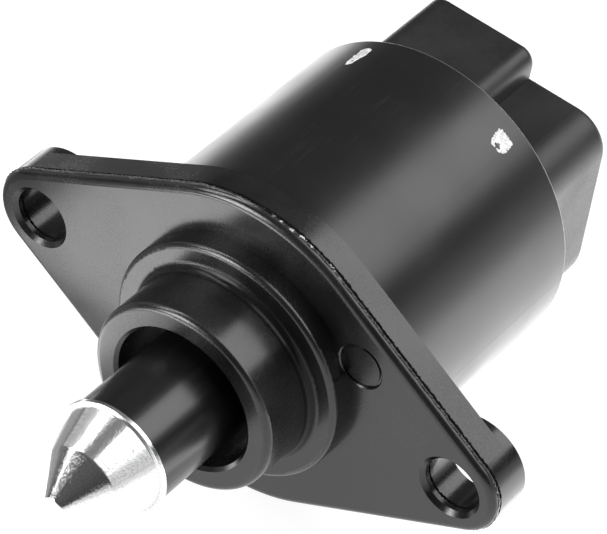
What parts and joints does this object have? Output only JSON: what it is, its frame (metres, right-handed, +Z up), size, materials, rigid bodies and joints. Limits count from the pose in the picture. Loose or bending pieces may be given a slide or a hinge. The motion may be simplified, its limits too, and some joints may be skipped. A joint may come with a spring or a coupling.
{
  "type": "idle air control valve",
  "caption": "Stepping-motor idle air valve: diamond flange with screw ears, round spigot, sliding plunger with conical metal pintle, black motor can and a plug socket at the rear.",
  "frame": {"origin": "centre of the flange's front mounting face, midway between the two screw holes", "axes": "+Y along the motor's axis towards the plug socket, so the pintle points to -Y; X runs through the two screw holes; +Z is up, on the side of the socket's raised channel"},
  "size_m": [0.0602, 0.0696, 0.0358],
  "materials": {
    "black_moulding": "semi-gloss glass-filled moulding, fine spark texture",
    "plunger_moulding": "satin moulded plastic",
    "black_can": "smooth satin black coating on drawn steel",
    "polished_tip": "turned and polished",
    "seal_rubber": "matt moulded rubber",
    "pressed_steel": "cold rolled sheet",
    "bearing_steel": "ground bright",
    "cage_moulding": "natural moulding",
    "coil_former_moulding": "natural moulding",
    "copper_winding": "enamelled copper wire",
    "sintered_bronze": "oil-filled sintered bronze",
    "ferrite": "sintered ferrite",
    "brass_nut": "turned brass",
    "tinned_brass": "tin-plated brass strip"
  },
  "bodies": {
    "housing": {"front_housing": "black_moulding", "seal_ring": "seal_rubber", "motor_can": "black_can", "front_end_plate": "pressed_steel", "preload_washer": "bearing_steel", "bearing_outer_ring": "bearing_steel", "front_outer_pole_plate": "pressed_steel", "front_inner_pole_plate": "pressed_steel", "rear_inner_pole_plate": "pressed_steel", "rear_outer_pole_plate": "pressed_steel", "front_coil_former": "coil_former_moulding", "front_coil_winding": "copper_winding", "rear_coil_former": "coil_former_moulding", "rear_coil_winding": "copper_winding", "rear_bush": "sintered_bronze", "connector_cover": "black_moulding", "contact_blade_1": "tinned_brass", "contact_blade_2": "tinned_brass", "contact_blade_3": "tinned_brass", "contact_blade_4": "tinned_brass"},
    "rotor": {"rotor_magnet": "ferrite", "rotor_hub": "cage_moulding", "drive_screw": "bearing_steel", "bearing_inner_ring": "bearing_steel"},
    "ball_cage": {"bearing_balls": "bearing_steel", "bearing_cage": "cage_moulding"},
    "pintle": {"plunger": "plunger_moulding", "plunger_nut": "brass_nut", "pintle_tip": "polished_tip"}
  },
  "joints": [
    {"name": "rotor_spin", "type": "hinge", "parent": "housing", "child": "rotor", "pos_m": [0, 0, 0], "axis": [0, -1, 0], "range_deg": [0, 2880]},
    {"name": "ball_orbit", "type": "hinge", "parent": "housing", "child": "ball_cage", "pos_m": [0, 0, 0], "axis": [0, -1, 0], "range_deg": [0, 1097]},
    {"name": "pintle_slide", "type": "slide", "parent": "housing", "child": "pintle", "axis": [0, 1, 0], "range_m": [0, 0.008]}
  ],
  "couplings": [
    {"joint": "rotor_spin", "follows": "pintle_slide", "rad_per_m": 6283.2},
    {"joint": "ball_orbit", "follows": "pintle_slide", "rad_per_m": 2392}
  ]
}
